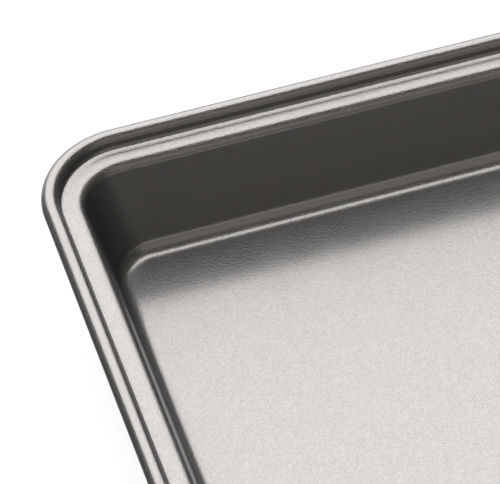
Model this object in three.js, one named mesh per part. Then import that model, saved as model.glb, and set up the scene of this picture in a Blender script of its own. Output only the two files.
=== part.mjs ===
// Brownie pan: one pressed steel sheet with a ledge and a rolled rim, and the wire that the rim is rolled round.
// Millimetres, +Z up, the middle of the underside at the origin, the long sides along X.
import * as THREE from "three";

// Size over all
const LENGTH = 340;
const WIDTH = 200;
const HEIGHT = 38;
const SHEET = 0.8;

// Plan
const FLOOR_CORNER = 10;
const CORNER_STEPS = 8;

// Section, from the floor outwards: radii are those of the upper face, turns are in degrees
const FOOT_FILLET = 5.45;
const WALL_DRAFT = 12.7;
const SHOULDER = 3.65;
const LEDGE = 2.15;
const GUTTER = 5;
const GUTTER_TURN = 17.4;
const STEP_FILLET = 1.17;
const STEP_RISE = 83;
const STEP_STRAIGHT = 1.15;
const RIM_ROLL = 5.4;
const RIM_TURN = 290;

// Wire in the rolled rim
const WIRE_CLEARANCE = 0.3;
const WIRE_SIDES = 12;
const BUTT_GAP = 0.5;

const half = SHEET / 2;
const rad = THREE.MathUtils.degToRad;

// Middle line of the sheet in the plane of the section: places, headings and centres of bend after a run of moves.
// A move is straight with a length, or curved with a radius and a turn that is positive to the left.
// Spread is how far a place has come out along the leaning wall.
function follow(moves) {
  const line = [{ at: new THREE.Vector2(0, half), heading: 0, spread: 0 }];
  for (const { length, leaning, radius, turn, steps } of moves) {
    const from = line[line.length - 1];
    const side = Math.sign(turn);
    if (length !== undefined) {
      const along = new THREE.Vector2(length, 0).rotateAround(new THREE.Vector2(), from.heading);
      const spread = from.spread + (leaning ? along.x : 0);
      line.push({ at: from.at.clone().add(along), heading: from.heading, spread });
      continue;
    }
    const spoke = new THREE.Vector2(0, side * radius).rotateAround(new THREE.Vector2(), from.heading);
    const centre = from.at.clone().add(spoke);
    for (let i = 1; i <= steps; i++) {
      const swing = (rad(turn) * i) / steps;
      const at = from.at.clone().rotateAround(centre, swing);
      line.push({ at, heading: from.heading + swing, spread: from.spread, centre });
    }
  }
  return line;
}

// The sheet's section for a straight wall of the given length.
function section(wall) {
  return follow([
    { radius: FOOT_FILLET + half, turn: 90 - WALL_DRAFT, steps: 8 },
    { length: wall, leaning: true },
    { radius: SHOULDER - half, turn: WALL_DRAFT - 90, steps: 7 },
    { length: LEDGE },
    { radius: GUTTER + half, turn: GUTTER_TURN, steps: 3 },
    { radius: STEP_FILLET + half, turn: STEP_RISE - GUTTER_TURN, steps: 5 },
    { length: STEP_STRAIGHT },
    { radius: RIM_ROLL / 2 - half, turn: -STEP_RISE - RIM_TURN + 90, steps: 20 },
  ]);
}

// Points on one face of the sheet, as distance out, height and spread; side is 1 for the upper face, -1 for the lower.
function face(line, side) {
  return line.map(({ at, heading, spread }) => {
    const off = new THREE.Vector2(0, side * half).rotateAround(new THREE.Vector2(), heading).add(at);
    return new THREE.Vector3(off.x, off.y, spread);
  });
}

const highest = (points) => Math.max(...points.map((p) => p.y));
const widest = (points) => Math.max(...points.map((p) => p.x));

const short = HEIGHT - highest(face(section(0), 1));
const sheet = section(short / Math.cos(rad(WALL_DRAFT)));
const upper = face(sheet, 1);
const lower = face(sheet, -1);
const reach = widest(upper);

// Round the floor's outline, anticlockwise from the corner towards +X and -Y: places on it, the outward direction
// at each, and the swing, which is the way that the corner's centre moves as the wall comes out.
function outline() {
  const x = LENGTH / 2 - reach - FLOOR_CORNER;
  const y = WIDTH / 2 - reach - FLOOR_CORNER;
  const corners = [[1, -1], [1, 1], [-1, 1], [-1, -1]];
  const stations = [];
  corners.forEach(([towardsX, towardsY], quarter) => {
    const centre = new THREE.Vector2(towardsX * x, towardsY * y);
    const swing = new THREE.Vector2(towardsX, towardsY);
    for (let i = 0; i <= CORNER_STEPS; i++) {
      const angle = (Math.PI / 2) * (quarter - 1 + i / CORNER_STEPS);
      const out = new THREE.Vector2(Math.cos(angle), Math.sin(angle));
      stations.push({ at: out.clone().multiplyScalar(FLOOR_CORNER).add(centre), out, swing });
    }
  });
  return stations;
}

// One ring of points per station. The spread along the wall moves a corner's centre and leaves its radius,
// so the wall keeps one corner radius from its foot to its shoulder.
function rings(stations, profile) {
  return stations.map(({ at, out, swing }) =>
    profile.map((p) => {
      const flat = at.clone().addScaledVector(out, p.x - p.z).addScaledVector(swing, p.z);
      return new THREE.Vector3(flat.x, flat.y, p.y);
    }),
  );
}

// A mesh geometry from triangles given by their corners.
function surface(triangles) {
  return new THREE.BufferGeometry().setFromPoints(triangles.flat());
}

// Triangles between each ring and the next, point by point; a closed profile also joins its last point to its first.
function skin(ringPairs, closed) {
  const triangles = [];
  for (const [a, b] of ringPairs) {
    const count = closed ? a.length : a.length - 1;
    for (let i = 0; i < count; i++) {
      const j = (i + 1) % a.length;
      triangles.push([a[i], b[i], b[j]], [a[i], b[j], a[j]]);
    }
  }
  return triangles;
}

// Sheet: the section from the floor's underside out to the rim and back over its upper face, carried round the outline.
function panShell() {
  const profile = [...lower, ...upper.toReversed()];
  const last = profile.length - 1;
  const all = rings(outline(), profile);
  const next = (i) => all[(i + 1) % all.length];
  const triangles = skin(all.map((ring, i) => [ring, next(i)]), false);
  const bottom = new THREE.Vector3(0, 0, 0);
  const top = new THREE.Vector3(0, 0, SHEET);
  all.forEach((ring, i) => {
    triangles.push([bottom, next(i)[0], ring[0]]);
    triangles.push([top, ring[last], next(i)[last]]);
  });
  return surface(triangles);
}

// Wire: a round bar bent along the middle of the rolled rim, its ends butted at the middle of a long side.
function rimWire() {
  const { centre, spread } = sheet[sheet.length - 1];
  const radius = RIM_ROLL / 2 - SHEET - WIRE_CLEARANCE;
  const profile = [];
  for (let i = 0; i < WIRE_SIDES; i++) {
    const angle = (2 * Math.PI * i) / WIRE_SIDES;
    const round = new THREE.Vector2(Math.cos(angle), Math.sin(angle)).multiplyScalar(radius).add(centre);
    profile.push(new THREE.Vector3(round.x, round.y, spread));
  }
  const stations = outline();
  const { at, out } = stations[0];
  const ends = [1, -1].map((way) => ({ at: new THREE.Vector2((way * BUTT_GAP) / 2, at.y), out, swing: out }));
  const all = rings([ends[0], ...stations, ends[1]], profile);
  const last = all.length - 1;
  const triangles = skin(all.slice(0, last).map((ring, i) => [ring, all[i + 1]]), true);
  for (let i = 1; i < WIRE_SIDES - 1; i++) {
    triangles.push([all[0][0], all[0][i], all[0][i + 1]]);
    triangles.push([all[last][0], all[last][i + 1], all[last][i]]);
  }
  return surface(triangles);
}

const coating = new THREE.MeshStandardMaterial({ color: 0x8d8b88, roughness: 0.3, metalness: 1 });
const wireSteel = new THREE.MeshStandardMaterial({ color: 0xa9a9a6, roughness: 0.45, metalness: 1 });

const group = new THREE.Group();
for (const [name, geometry, material] of [
  ["pan_shell", panShell(), coating],
  ["rim_wire", rimWire(), wireSteel],
]) {
  const mesh = new THREE.Mesh(geometry, material);
  geometry.computeVertexNormals();
  mesh.name = name;
  group.add(mesh);
}

export default group;
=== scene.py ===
"""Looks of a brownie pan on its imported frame: pressed shell, rim wire, coating and studio."""

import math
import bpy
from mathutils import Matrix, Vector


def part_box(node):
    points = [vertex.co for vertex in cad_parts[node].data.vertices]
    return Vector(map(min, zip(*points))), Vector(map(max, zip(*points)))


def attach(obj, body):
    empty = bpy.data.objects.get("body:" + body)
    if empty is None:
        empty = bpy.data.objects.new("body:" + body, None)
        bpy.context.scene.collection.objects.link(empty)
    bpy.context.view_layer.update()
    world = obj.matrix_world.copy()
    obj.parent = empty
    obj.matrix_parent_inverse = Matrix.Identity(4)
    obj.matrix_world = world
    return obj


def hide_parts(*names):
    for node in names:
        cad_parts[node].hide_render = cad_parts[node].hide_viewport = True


bl_info = {
    "name": "Brownie Pan",
    "version": (1, 0, 0),
    "blender": (4, 5, 0),
    "location": "3D View > Sidebar > Pan",
    "description": "Pressed and coated brownie pan with a wired rim, and the studio that shows it",
    "category": "Add Mesh",
}

import bpy
import numpy as np
from bpy.props import FloatProperty, FloatVectorProperty, PointerProperty
from bpy.types import Operator, Panel, PropertyGroup
from mathutils import Matrix, Vector

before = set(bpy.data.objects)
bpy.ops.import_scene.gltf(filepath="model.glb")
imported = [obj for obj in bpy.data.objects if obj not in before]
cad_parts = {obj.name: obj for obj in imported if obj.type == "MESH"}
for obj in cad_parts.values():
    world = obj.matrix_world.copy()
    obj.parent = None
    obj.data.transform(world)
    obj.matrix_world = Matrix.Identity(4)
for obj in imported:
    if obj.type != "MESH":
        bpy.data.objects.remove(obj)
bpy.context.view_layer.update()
SHELL_LOW, SHELL_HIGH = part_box("pan_shell")
SHELL_SIZE = SHELL_HIGH - SHELL_LOW

# Fineness of the meshes; insets are shares of the way from the flat floor's edge to its middle
BEND_STEP = math.radians(3)
LEAST_BEND_STEPS = 4
STRAIGHT_STEPS = 10
CORNER_STEPS = 36
SIDE_STEPS = 12
WIRE_SIDES = 24
FLOOR_INSETS = (0.003, 0.012, 0.05, 0.15, 0.35, 0.65)

# Patterns of the materials, in metres; most values of a noise lie in its range
NOISE_RANGE = (0.3, 0.7)
DRIFT_SIZE = 0.012
DRIFT_DETAIL = 3.0
PATCH_SIZE = 0.004
PATCH_DETAIL = 2.0
LINES_PER_METRE = (40, 4000, 1)
LINE_DETAIL = 2.0
LINE_HEIGHT = 0.00001
LINE_STRENGTH = 0.6
WIRE_ROUGHNESS = (0.35, 0.55)

# Stage and camera, in metres, with the card's ends in widths of the pan
FLOOR_REACH = 8.0
FLOOR_DROP = 0.0002
CARD_ENDS = (-2, 0.6)
PICTURE_WIDTH_MM = 36
NEAREST_SEEN = 0.01

# Edges of the light: the window's as shares of a direction, the others as angles
WINDOW_FADE = 0.05
LEAST_DEPTH = 0.05
PANEL_FADE = math.radians(8)
HORIZON_FADE = math.radians(4)


def length(name, description, default):
    """Property for a length in metres."""
    return FloatProperty(
        name=name,
        description=description,
        default=default,
        min=0,
        precision=5,
        subtype="DISTANCE",
        unit="LENGTH",
    )


def angle(name, description, degrees):
    """Property for an angle, written in degrees and kept in radians."""
    return FloatProperty(
        name=name, description=description, default=math.radians(degrees), subtype="ANGLE", unit="ROTATION"
    )


def factor(name, description, default):
    """Property for a share between 0 and 1."""
    return FloatProperty(
        name=name, description=description, default=default, min=0, max=1, subtype="FACTOR"
    )


def amount(name, description, default):
    """Property for a plain number that is never negative."""
    return FloatProperty(name=name, description=description, default=default, min=0)


def colour(name, description, default):
    """Property for a colour."""
    return FloatVectorProperty(
        name=name, description=description, default=default, size=3, min=0, max=1, subtype="COLOR"
    )


class PanSizes(PropertyGroup):
    """Sizes of the pressed sheet and of the wire in its rim."""

    length: length("Length", "Pan over the rim, along the long sides", SHELL_SIZE.x)
    width: length("Width", "Pan over the rim, along the short sides", SHELL_SIZE.y)
    height: length("Height", "From the underside to the top of the rim", SHELL_SIZE.z)
    sheet: length("Sheet", "Thickness of the steel sheet", 0.0008)
    floor_corner: length("Floor corner", "Plan radius where the flat floor ends at a corner", 0.01)
    foot_fillet: length("Foot fillet", "Radius of the bend from the floor to the wall", 0.00545)
    wall_draft: angle("Wall draft", "Lean of the wall away from upright", 12.7)
    shoulder: length("Shoulder", "Radius of the bend from the wall to the ledge", 0.00365)
    ledge: length("Ledge", "Width of the flat part of the ledge", 0.00215)
    gutter: length("Gutter", "Radius of the gentle bend outside the ledge", 0.005)
    gutter_turn: angle("Gutter turn", "Rise at the end of the gentle bend", 17.4)
    step_fillet: length("Step fillet", "Radius of the tight bend below the rim", 0.00117)
    step_rise: angle("Step rise", "Steepness of the sheet below the rim", 83)
    step_straight: length("Step straight", "Straight part below the rim", 0.00115)
    rim_roll: length("Rim roll", "Outside diameter of the rolled rim", 0.0054)
    rim_turn: angle("Rim turn", "How far the rim is rolled round, from its top", 290)
    wire_clearance: length("Wire clearance", "Room between the wire and the roll", 0.0003)
    butt_gap: length("Butt gap", "Gap between the ends of the wire", 0.0005)


class PanFinish(PropertyGroup):
    """Colours and surface of the coating and of the wire."""

    coat_deep: colour("Coating, deep", "Darkest flakes of the metallic coating", (0.177, 0.173, 0.174))
    coat_light: colour("Coating, light", "Lightest flakes of the metallic coating", (0.24, 0.234, 0.236))
    coat_metallic: factor("Coating metallic", "Share of metal flakes in the coating", 1.0)
    coat_edge: factor("Coating edge", "Paleness of the coating at a grazing angle", 0.4)
    coat_roughness: factor("Coating roughness", "Mean roughness of the coating", 0.19)
    coat_spread: factor("Coating spread", "How far the roughness strays from its mean", 0.02)
    haze: factor("Haze", "Weight of the wide soft sheen over the metal", 1.0)
    haze_roughness: factor("Haze roughness", "Roughness of the soft sheen", 0.45)
    haze_index: amount("Haze index", "Refractive index that sets the soft sheen's strength", 2.2)
    flake_size: length("Flake size", "Size of the flakes that speckle the coating", 0.00058)
    flake_height: length("Flake height", "Height of the flakes, which tilts the soft sheen", 0.00025)
    grain_size: length("Grain size", "Size of the coating's grains", 0.0005)
    grain_height: length("Grain height", "Height of the coating's grains", 0.00002)
    wire_deep: colour("Wire, deep", "Drawing lines of the wire", (0.34, 0.34, 0.33))
    wire_light: colour("Wire, light", "Bright steel of the wire", (0.48, 0.48, 0.47))


class PanStudio(PropertyGroup):
    """View of the pan and the light round it; headings are measured from the view's own heading."""

    heading: angle("Heading", "Direction of the view, clockwise from +Y", 14.5)
    elevation: angle("Elevation", "Height of the camera above the horizon", 45.8)
    roll: angle("Roll", "Turn of the picture", -3.83)
    distance: length("Distance", "From the camera to the place it looks at", 1.2143)
    lens: amount("Lens", "Focal length on a 36 mm wide picture", 284.4)
    target: FloatVectorProperty(
        name="Target",
        description="Place in the middle of the picture",
        default=(-0.10923, 0.05986, 0.01422),
        size=3,
        subtype="TRANSLATION",
        unit="LENGTH",
    )
    window_rise: angle("Window rise", "Height of the soft flat window that faces the pan from behind", 45)
    window_left: angle("Window left", "Reach of the window to the left", 38)
    window_right: angle("Window right", "Reach of the window to the right", 31.6)
    window_up: angle("Window up", "Reach of the window upwards", 43.5)
    window_down: angle("Window down", "Reach of the window downwards", 34)
    window_soft: amount("Window softness", "Width of the window's fading sides", 0.2)
    window_strength: amount("Window strength", "Brightness of the window", 2.45)
    window_colour: colour("Window colour", "Colour of the window", (1.0, 0.983, 0.955))
    panel_half: angle("Panel half", "Reach of the dim panel in front of the pan to either side", 57)
    panel_low: angle("Panel low", "Lower edge of the dim panel in front of the pan", 12)
    panel_high: angle("Panel high", "Upper edge of the dim panel in front of the pan", 53)
    panel_strength: amount("Panel strength", "Brightness of the panel", 0.34)
    dim_strength: amount("Dim strength", "Brightness of the rest of the room", 0.085)
    dim_colour: colour("Dim colour", "Colour of the rest of the room", (1.0, 0.94, 0.8))
    below_strength: amount("Below strength", "Brightness below the floor, for the underside", 0.5)
    floor_colour: colour("Floor colour", "Colour of the floor", (0.45, 0.45, 0.45))
    floor_glow: amount("Floor glow", "Paleness added to the floor as it is seen", 0.8)
    flag_gap: length("Flag gap", "From the rim to the grey card beside the left side", 0.02)
    flag_height: length("Flag height", "Height of the grey card", 0.05)
    flag_grey: factor("Flag grey", "Paleness of the grey card", 0.45)


def bend(start, heading, radius, turn):
    """Points and headings along an arc: R (sin h - sin h0, cos h0 - cos h) from its start.

    R is the radius, positive for a turn to the left and negative for one to the right.
    """
    steps = max(LEAST_BEND_STEPS, math.ceil(abs(turn) / BEND_STEP))
    h = heading + turn * np.linspace(0, 1, steps + 1)[1:]
    signed = math.copysign(radius, turn)
    sweep = np.stack([np.sin(h) - math.sin(heading), math.cos(heading) - np.cos(h)], axis=-1)
    return start + signed * sweep, h


def straight(start, heading, run):
    """Points and headings along a line: run t (cos h, sin h) from its start.

    As u goes evenly from 0 to 1, t is (1 - cos pi u) / 2, so the points crowd towards both ends.
    """
    t = (1 - np.cos(np.pi * np.linspace(0, 1, STRAIGHT_STEPS + 1)[1:])) / 2
    ahead = np.array([math.cos(heading), math.sin(heading)])
    return start + run * t[:, None] * ahead, np.full(len(t), heading)


def middle_line(sizes, wall):
    """Middle of the sheet in the plane of its section, from the flat floor's edge to the rolled rim's end.

    Straights and bends follow each other without a kink. Returns the points, the headings, the spread,
    which is how far each place has come out along the straight wall, and the roll's centre.
    """
    half = sizes.sheet / 2
    foot = sizes.foot_fillet + half
    roll = sizes.rim_roll / 2 - half
    runs = (
        (bend, foot, math.pi / 2 - sizes.wall_draft),
        (straight, wall),
        (bend, sizes.shoulder - half, sizes.wall_draft - math.pi / 2),
        (straight, sizes.ledge),
        (bend, sizes.gutter + half, sizes.gutter_turn),
        (bend, sizes.step_fillet + half, sizes.step_rise - sizes.gutter_turn),
        (straight, sizes.step_straight),
        (bend, roll, math.pi / 2 - sizes.step_rise - sizes.rim_turn),
    )
    points, headings = [np.array([[0.0, half]])], [np.zeros(1)]
    for shape, *values in runs:
        start, heading = points[-1][-1], headings[-1][-1]
        more, turned = shape(start, heading, *values)
        points.append(more)
        headings.append(turned)
    # The roll is the last run, so its centre lies to the right of the last start
    centre = start + roll * np.array([math.sin(heading), -math.cos(heading)])
    points, headings = np.concatenate(points), np.concatenate(headings)
    wall_start, wall_out = foot * math.cos(sizes.wall_draft), wall * math.sin(sizes.wall_draft)
    spread = np.clip(points[:, 0] - wall_start, 0, wall_out)
    return points, headings, spread, centre


def section(sizes):
    """Both faces of the sheet: the middle line moved half the thickness along its normal (-sin h, cos h).

    The wall is as long as the height over all asks. Returns the upper and the lower face, as distance out,
    height and spread along the wall, and the roll's centre in the same terms.
    """
    half = sizes.sheet / 2

    def faces(wall):
        points, headings, spread, centre = middle_line(sizes, wall)
        normals = np.stack([-np.sin(headings), np.cos(headings), np.zeros(len(headings))], axis=-1)
        middle = np.column_stack([points, spread])
        return middle + half * normals, middle - half * normals, np.append(centre, spread[-1])

    short = sizes.height - faces(0)[0][:, 1].max()
    return faces(short / math.cos(sizes.wall_draft))


def stations(sizes, reach):
    """Places round the edge of the flat floor, the outward direction at each, and its swing, anticlockwise.

    The edge is a rounded rectangle: each quarter is a corner centre plus the corner radius times
    (cos a, sin a), followed by even places along the straight side to the next quarter. Swing is the
    corner's signs in x and y, and runs evenly from one corner's to the next along a side. The list starts
    in the middle of the side towards -Y.
    """
    x = sizes.length / 2 - reach - sizes.floor_corner
    y = sizes.width / 2 - reach - sizes.floor_corner
    centres = np.array([[x, -y], [x, y], [-x, y], [-x, -y]])
    a = np.pi / 2 * (np.arange(4)[:, None] - 1 + np.linspace(0, 1, CORNER_STEPS + 1))
    out = np.stack([np.cos(a), np.sin(a)], axis=-1)
    arcs = centres[:, None] + sizes.floor_corner * out
    t = np.linspace(0, 1, SIDE_STEPS + 1)[1:-1, None]
    sides = arcs[:, -1:] + t * (np.roll(arcs, -1, axis=0)[:, :1] - arcs[:, -1:])
    places = np.concatenate([arcs, sides], axis=1).reshape(-1, 2)
    facing = np.concatenate([out, np.repeat(out[:, -1:], len(t), axis=1)], axis=1).reshape(-1, 2)
    signs = np.sign(centres)[:, None]
    turning = signs + t * (np.roll(signs, -1, axis=0) - signs)
    swing = np.concatenate([np.repeat(signs, CORNER_STEPS + 1, axis=1), turning], axis=1).reshape(-1, 2)
    return [np.roll(each, SIDE_STEPS // 2, axis=0) for each in (places, facing, swing)]


def carry(profile, places, facing, swing):
    """Profile carried round the stations: place + facing (away - spread) + swing x spread, at its height.

    The spread moves a corner's centre and not its radius, so the wall keeps one corner radius.
    """
    away, height, spread = profile.T[:, :, None, None]
    flat = places + facing * (away - spread) + swing * spread
    return np.concatenate([flat, np.broadcast_to(height, flat.shape[:2] + (1,))], axis=-1)


def ring_quads(rows, columns):
    """Quads between neighbouring rows of a grid whose columns close on themselves."""
    row, column = np.meshgrid(np.arange(rows - 1), np.arange(columns), indexing="ij")
    here, beside = row * columns + column, row * columns + (column + 1) % columns
    return np.stack([here, here + columns, beside + columns, beside], axis=-1).reshape(-1, 4).tolist()


def fan(pole, ring):
    """Triangles from a pole to each neighbouring pair of a closed ring."""
    return np.stack([np.full(len(ring), pole), ring, np.roll(ring, -1)], axis=-1).tolist()


def closed_skin(rows, poles):
    """Points and faces of a row of rings joined one to the next, with a pole that closes each end."""
    count, columns = rows.shape[:2]
    points = np.concatenate([rows.reshape(-1, 3), poles])
    first = np.arange(columns)
    last = first[::-1] + (count - 1) * columns
    pole = count * columns
    return points, ring_quads(count, columns) + fan(pole, first) + fan(pole + 1, last)


def unroll(mesh, rows, girth):
    """Map of a bar's closed skin: the distance along its middle, and the distance round it."""
    middle = rows.mean(axis=1)
    run = np.concatenate([[0], np.linalg.norm(np.diff(middle, axis=0), axis=1).cumsum()])
    flat = np.stack(np.meshgrid(run, girth, indexing="ij"), axis=-1).reshape(-1, 2)
    flat = np.concatenate([flat, [[0, 0], [run[-1], 0]]])
    corners = np.empty(len(mesh.loops), dtype=np.int32)
    mesh.loops.foreach_get("vertex_index", corners)
    layer = mesh.uv_layers.new(name="run_and_girth")
    layer.uv.foreach_set("vector", flat[corners].astype(np.float32).ravel())


def piece(name, points, faces, material, node):
    """Smooth object at the origin that stands for a node of the frame and takes its finish from a slot."""
    mesh = bpy.data.meshes.new(name)
    mesh.from_pydata(points, [], faces)
    mesh.shade_smooth()
    mesh.materials.append(material)
    made = bpy.data.objects.new(name, mesh)
    bpy.context.scene.collection.objects.link(made)
    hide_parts(node)
    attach(made, "root")
    return made


class Nodes:
    """Short way to add nodes to a node tree and join them."""

    # Places of a Mix node's colour sockets among its sockets
    FIRST_COLOUR, SECOND_COLOUR, MIXED_COLOUR = 6, 7, 2

    def __init__(self, tree):
        self.tree = tree
        tree.nodes.clear()

    def add(self, kind, **inputs):
        """Adds a node; each input is a value for its socket, or a socket to link to it."""
        made = self.tree.nodes.new("ShaderNode" + kind)
        for key, value in inputs.items():
            self.put(made.inputs[key.replace("_", " ")], value)
        return made

    def put(self, socket, value):
        """Sets a socket to a value, or links another socket to it."""
        if isinstance(value, bpy.types.NodeSocket):
            self.tree.links.new(value, socket)
        else:
            socket.default_value = value

    def math(self, operation, *values):
        """Math node; gives its result."""
        made = self.tree.nodes.new("ShaderNodeMath")
        made.operation = operation
        for socket, value in zip(made.inputs, values):
            self.put(socket, value)
        return made.outputs[0]

    def spread(self, value, low, high, to_low=0.0, to_high=1.0, smooth=False):
        """Map Range node from low..high to to_low..to_high; gives its result."""
        made = self.add("MapRange", Value=value, From_Min=low, From_Max=high, To_Min=to_low, To_Max=to_high)
        made.interpolation_type = "SMOOTHSTEP" if smooth else "LINEAR"
        return made.outputs[0]

    def blend(self, share, first, second):
        """Mix of two colours; gives the mixed colour."""
        made = self.tree.nodes.new("ShaderNodeMix")
        made.data_type = "RGBA"
        self.put(made.inputs["Factor"], share)
        self.put(made.inputs[self.FIRST_COLOUR], (*first, 1))
        self.put(made.inputs[self.SECOND_COLOUR], (*second, 1))
        return made.outputs[self.MIXED_COLOUR]

    def grain(self, vector, size, detail=1.0):
        """Noise whose patches are about the given size across; gives its value."""
        made = self.add("TexNoise", Vector=vector, Scale=1 / size, Detail=detail)
        return made.outputs[0]


def new_material(name):
    """Empty node material and the helper for its nodes."""
    made = bpy.data.materials.new(name)
    made.use_nodes = True
    return made, Nodes(made.node_tree)


def coated_steel(finish):
    """Metallic grey non-stick coating: a fine grain, and flakes that speckle it and tilt its soft sheen."""
    made, nodes = new_material("coated_steel")
    place = nodes.add("TexCoord").outputs["Object"]
    grain = nodes.grain(place, finish.grain_size)
    bump = nodes.add("Bump", Height=grain, Distance=finish.grain_height, Strength=1.0)
    flake = nodes.grain(place, finish.flake_size)
    tilt = nodes.add("Bump", Height=flake, Distance=finish.flake_height, Strength=1.0)
    drift = nodes.grain(place, DRIFT_SIZE, DRIFT_DETAIL)
    mean, stray = finish.coat_roughness, finish.coat_spread
    shine = nodes.add(
        "BsdfPrincipled",
        Base_Color=nodes.blend(nodes.spread(flake, *NOISE_RANGE), finish.coat_deep, finish.coat_light),
        Metallic=finish.coat_metallic,
        Roughness=nodes.spread(drift, *NOISE_RANGE, mean - stray, mean + stray),
        Specular_Tint=(*(finish.coat_edge,) * 3, 1),
        Coat_Weight=finish.haze,
        Coat_Roughness=finish.haze_roughness,
        Coat_IOR=finish.haze_index,
        Normal=bump.outputs[0],
        Coat_Normal=tilt.outputs[0],
    )
    nodes.add("OutputMaterial", Surface=shine.outputs[0])
    return made


def wire_steel(finish):
    """Drawn steel: fine lines along the wire, from its own map of run and girth, and small dull patches."""
    made, nodes = new_material("wire_steel")
    run = nodes.add("UVMap").outputs[0]
    lines = nodes.add("Mapping", Vector=run, Scale=LINES_PER_METRE).outputs[0]
    drawn = nodes.add("TexNoise", Vector=lines, Scale=1.0, Detail=LINE_DETAIL).outputs[0]
    patch = nodes.grain(nodes.add("TexCoord").outputs["Object"], PATCH_SIZE, PATCH_DETAIL)
    bump = nodes.add("Bump", Height=drawn, Distance=LINE_HEIGHT, Strength=LINE_STRENGTH)
    shine = nodes.add(
        "BsdfPrincipled",
        Base_Color=nodes.blend(nodes.spread(drawn, *NOISE_RANGE), finish.wire_deep, finish.wire_light),
        Metallic=1.0,
        Roughness=nodes.spread(patch, *NOISE_RANGE, *WIRE_ROUGHNESS),
        Normal=bump.outputs[0],
    )
    nodes.add("OutputMaterial", Surface=shine.outputs[0])
    return made


class PAN_OT_shell(Operator):
    """Press the pan's shell from one sheet, with its ledge and rolled rim, and coat it"""

    bl_idname = "pan.shell"
    bl_label = "Shell"

    def execute(self, context):
        sizes = context.scene.pan_sizes
        upper, lower, _ = section(sizes)
        around = stations(sizes, upper[:, 0].max())
        insets = np.array(FLOOR_INSETS)[::-1, None, None]
        flat = around[0] * (1 - insets)
        top = np.concatenate([flat, np.full(flat.shape[:2] + (1,), sizes.sheet)], axis=-1)
        under = top[::-1] * (1, 1, 0)
        rows = np.concatenate([top, carry(upper, *around), carry(lower[::-1], *around), under])
        points, faces = closed_skin(rows, [[0, 0, sizes.sheet], [0, 0, 0]])
        piece("shell", points, faces, coated_steel(context.scene.pan_finish), "pan_shell")
        return {"FINISHED"}


class PAN_OT_wire(Operator):
    """Bend the wire that the rim is rolled round"""

    bl_idname = "pan.wire"
    bl_label = "Rim wire"

    def execute(self, context):
        sizes = context.scene.pan_sizes
        upper, _, centre = section(sizes)
        places, facing, swing = stations(sizes, upper[:, 0].max())
        butt = places[0] * (0, 1)
        gap = np.array([sizes.butt_gap / 2, 0])
        places = np.concatenate([[butt + gap], places[1:], [butt - gap]])
        facing = np.concatenate([facing, facing[:1]])
        swing = np.concatenate([swing, swing[:1]])
        a = np.linspace(0, 2 * np.pi, WIRE_SIDES, endpoint=False)
        radius = sizes.rim_roll / 2 - sizes.sheet - sizes.wire_clearance
        profile = centre + radius * np.stack([np.cos(a), np.sin(a), np.zeros(WIRE_SIDES)], axis=-1)
        rows = carry(profile, places, facing, swing).transpose(1, 0, 2)
        ends = carry(centre[None], places[[0, -1]], facing[[0, -1]], swing[[0, -1]])[0]
        points, faces = closed_skin(rows, ends)
        made = piece("wire", points, faces, wire_steel(context.scene.pan_finish), "rim_wire")
        unroll(made.data, rows, radius * a)
        return {"FINISHED"}


def stage_sheet(name, corners, material):
    """Flat four-sided stage piece."""
    mesh = bpy.data.meshes.new(name)
    mesh.from_pydata(corners, [], [(0, 1, 2, 3)])
    mesh.materials.append(material)
    made = bpy.data.objects.new(name, mesh)
    bpy.context.scene.collection.objects.link(made)
    return made


def pale_floor(studio):
    """Matt floor that takes the pan's shadow, paler as it is seen or mirrored, and clear from below."""
    made, nodes = new_material("pale_floor")
    path = nodes.add("LightPath").outputs
    seen = nodes.math("MAXIMUM", path["Is Camera Ray"], path["Is Glossy Ray"])
    seen = nodes.math("MAXIMUM", seen, path["Is Transmission Ray"])
    matt = nodes.add("BsdfDiffuse", Color=(*studio.floor_colour, 1))
    glow = nodes.add("Emission", Strength=nodes.math("MULTIPLY", seen, studio.floor_glow))
    both = nodes.add("AddShader")
    nodes.put(both.inputs[0], matt.outputs[0])
    nodes.put(both.inputs[1], glow.outputs[0])
    sides = nodes.add("MixShader", Fac=nodes.add("NewGeometry").outputs["Backfacing"])
    nodes.put(sides.inputs[1], both.outputs[0])
    nodes.put(sides.inputs[2], nodes.add("BsdfTransparent").outputs[0])
    nodes.add("OutputMaterial", Surface=sides.outputs[0])
    return made


def grey_card(studio):
    """Matt grey card."""
    made, nodes = new_material("grey_card")
    matt = nodes.add("BsdfDiffuse", Color=(*(studio.flag_grey,) * 3, 1))
    nodes.add("OutputMaterial", Surface=matt.outputs[0])
    return made


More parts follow.
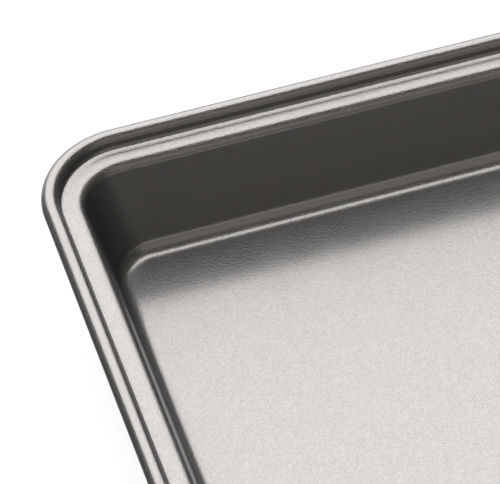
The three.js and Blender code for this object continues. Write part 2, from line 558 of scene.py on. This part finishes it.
def studio_world(studio):
    """Light by direction: a soft window behind the pan, a dim panel before it, and a dim warm room.

    The window is flat: a direction's place on it is its parts across and up, each over its part towards the
    window. The panel lies between two heights and within an angle to either side. All edges fade.
    """
    world = bpy.data.worlds.new("studio")
    world.use_nodes = True
    nodes = Nodes(world.node_tree)
    outwards = nodes.add("TexCoord").outputs["Generated"]
    turned = nodes.add("VectorRotate", Vector=outwards, Angle=studio.heading)
    turned.rotation_type = "Z_AXIS"
    way = nodes.add("SeparateXYZ", Vector=turned.outputs[0]).outputs
    rise = nodes.math("ARCSINE", way["Z"])

    def edge(value, place, soft):
        """Goes smoothly from 0 to 1 round a place, or from 1 to 0 where soft is negative."""
        return nodes.spread(value, place - soft, place + soft, smooth=True)

    def within(value, low, high, soft):
        """Is 1 between two places and fades to 0 round both."""
        return nodes.math("MULTIPLY", edge(value, low, soft), edge(value, high, -soft))

    c, s = math.cos(studio.window_rise), math.sin(studio.window_rise)
    depth = nodes.math("MULTIPLY_ADD", way["Y"], c, nodes.math("MULTIPLY", way["Z"], s))
    height = nodes.math("MULTIPLY_ADD", way["Y"], -s, nodes.math("MULTIPLY", way["Z"], c))
    across, along = nodes.math("DIVIDE", way["X"], depth), nodes.math("DIVIDE", height, depth)
    window = nodes.math(
        "MULTIPLY",
        within(across, -math.tan(studio.window_left), math.tan(studio.window_right), studio.window_soft),
        within(along, -math.tan(studio.window_down), math.tan(studio.window_up), WINDOW_FADE),
    )
    window = nodes.math("MULTIPLY", window, nodes.math("GREATER_THAN", depth, LEAST_DEPTH))
    aside = nodes.math("ABSOLUTE", nodes.math("ARCTAN2", way["X"], nodes.math("MULTIPLY", way["Y"], -1.0)))
    panel = within(rise, studio.panel_low, studio.panel_high, PANEL_FADE)
    panel = nodes.math("MULTIPLY", panel, edge(aside, studio.panel_half, -PANEL_FADE))
    room = nodes.math("MULTIPLY_ADD", panel, studio.panel_strength, studio.dim_strength)
    below = edge(rise, -HORIZON_FADE, -HORIZON_FADE)
    room = nodes.math("MULTIPLY_ADD", below, studio.below_strength, room)
    bright = nodes.math("MULTIPLY", window, studio.window_strength)
    soft_window = nodes.add("Background", Color=(*studio.window_colour, 1), Strength=bright)
    dim_room = nodes.add("Background", Color=(*studio.dim_colour, 1), Strength=room)
    both = nodes.add("AddShader")
    nodes.put(both.inputs[0], soft_window.outputs[0])
    nodes.put(both.inputs[1], dim_room.outputs[0])
    nodes.add("OutputWorld", Surface=both.outputs[0])
    return world


def view_camera(studio):
    """Camera that looks at the target along its heading and elevation, the picture turned by the roll."""
    ahead = Vector((math.sin(studio.heading), math.cos(studio.heading), 0))
    right = Vector((ahead.y, -ahead.x, 0))
    high = Vector((0, 0, 1))
    look = ahead * math.cos(studio.elevation) - high * math.sin(studio.elevation)
    up = ahead * math.sin(studio.elevation) + high * math.cos(studio.elevation)
    c, s = math.cos(studio.roll), math.sin(studio.roll)
    place = Matrix((c * right + s * up, c * up - s * right, -look)).transposed().to_4x4()
    place.translation = Vector(studio.target) - look * studio.distance
    data = bpy.data.cameras.new("view")
    data.sensor_fit = "HORIZONTAL"
    data.sensor_width = PICTURE_WIDTH_MM
    data.lens = studio.lens
    data.clip_start = NEAREST_SEEN
    made = bpy.data.objects.new("view", data)
    made.matrix_world = place
    bpy.context.scene.collection.objects.link(made)
    return made


class PAN_OT_studio(Operator):
    """Lay the floor, set the light and the grey card, and place the camera"""

    bl_idname = "pan.studio"
    bl_label = "Studio"

    def execute(self, context):
        scene, studio, sizes = context.scene, context.scene.pan_studio, context.scene.pan_sizes
        far, low = FLOOR_REACH, -FLOOR_DROP
        floor = [(-far, -far, low), (far, -far, low), (far, far, low), (-far, far, low)]
        stage_sheet("floor", floor, pale_floor(studio))
        x, top = -sizes.length / 2 - studio.flag_gap, studio.flag_height
        near, end = (share * sizes.width for share in CARD_ENDS)
        card = [(x, near, 0), (x, end, 0), (x, end, top), (x, near, top)]
        flag = stage_sheet("flag", card, grey_card(studio))
        flag.visible_camera = False
        flag.visible_shadow = False
        flag.visible_diffuse = False
        scene.world = studio_world(studio)
        scene.camera = view_camera(studio)
        scene.view_settings.view_transform = "Standard"
        return {"FINISHED"}


class PAN_PT_sidebar(Panel):
    """Steps and settings of the pan"""

    bl_idname = "PAN_PT_sidebar"
    bl_label = "Brownie Pan"
    bl_space_type = "VIEW_3D"
    bl_region_type = "UI"
    bl_category = "Pan"

    def draw(self, context):
        for step in STEPS:
            self.layout.operator(step.bl_idname)
        for group in (context.scene.pan_sizes, context.scene.pan_finish, context.scene.pan_studio):
            column = self.layout.column()
            for name in type(group).__annotations__:
                column.prop(group, name)


STEPS = (PAN_OT_shell, PAN_OT_wire, PAN_OT_studio)
CLASSES = (PanSizes, PanFinish, PanStudio, *STEPS, PAN_PT_sidebar)


def register():
    """Registers the classes and hangs the settings on the scene."""
    for each in CLASSES:
        bpy.utils.register_class(each)
    bpy.types.Scene.pan_sizes = PointerProperty(type=PanSizes)
    bpy.types.Scene.pan_finish = PointerProperty(type=PanFinish)
    bpy.types.Scene.pan_studio = PointerProperty(type=PanStudio)


def unregister():
    """Takes the settings and the classes away again."""
    del bpy.types.Scene.pan_studio, bpy.types.Scene.pan_finish, bpy.types.Scene.pan_sizes
    for each in reversed(CLASSES):
        bpy.utils.unregister_class(each)


def main():
    """Builds the pan and its studio."""
    register()
    bpy.ops.pan.shell()
    bpy.ops.pan.wire()
    bpy.ops.pan.studio()


if __name__ == "__main__":
    main()
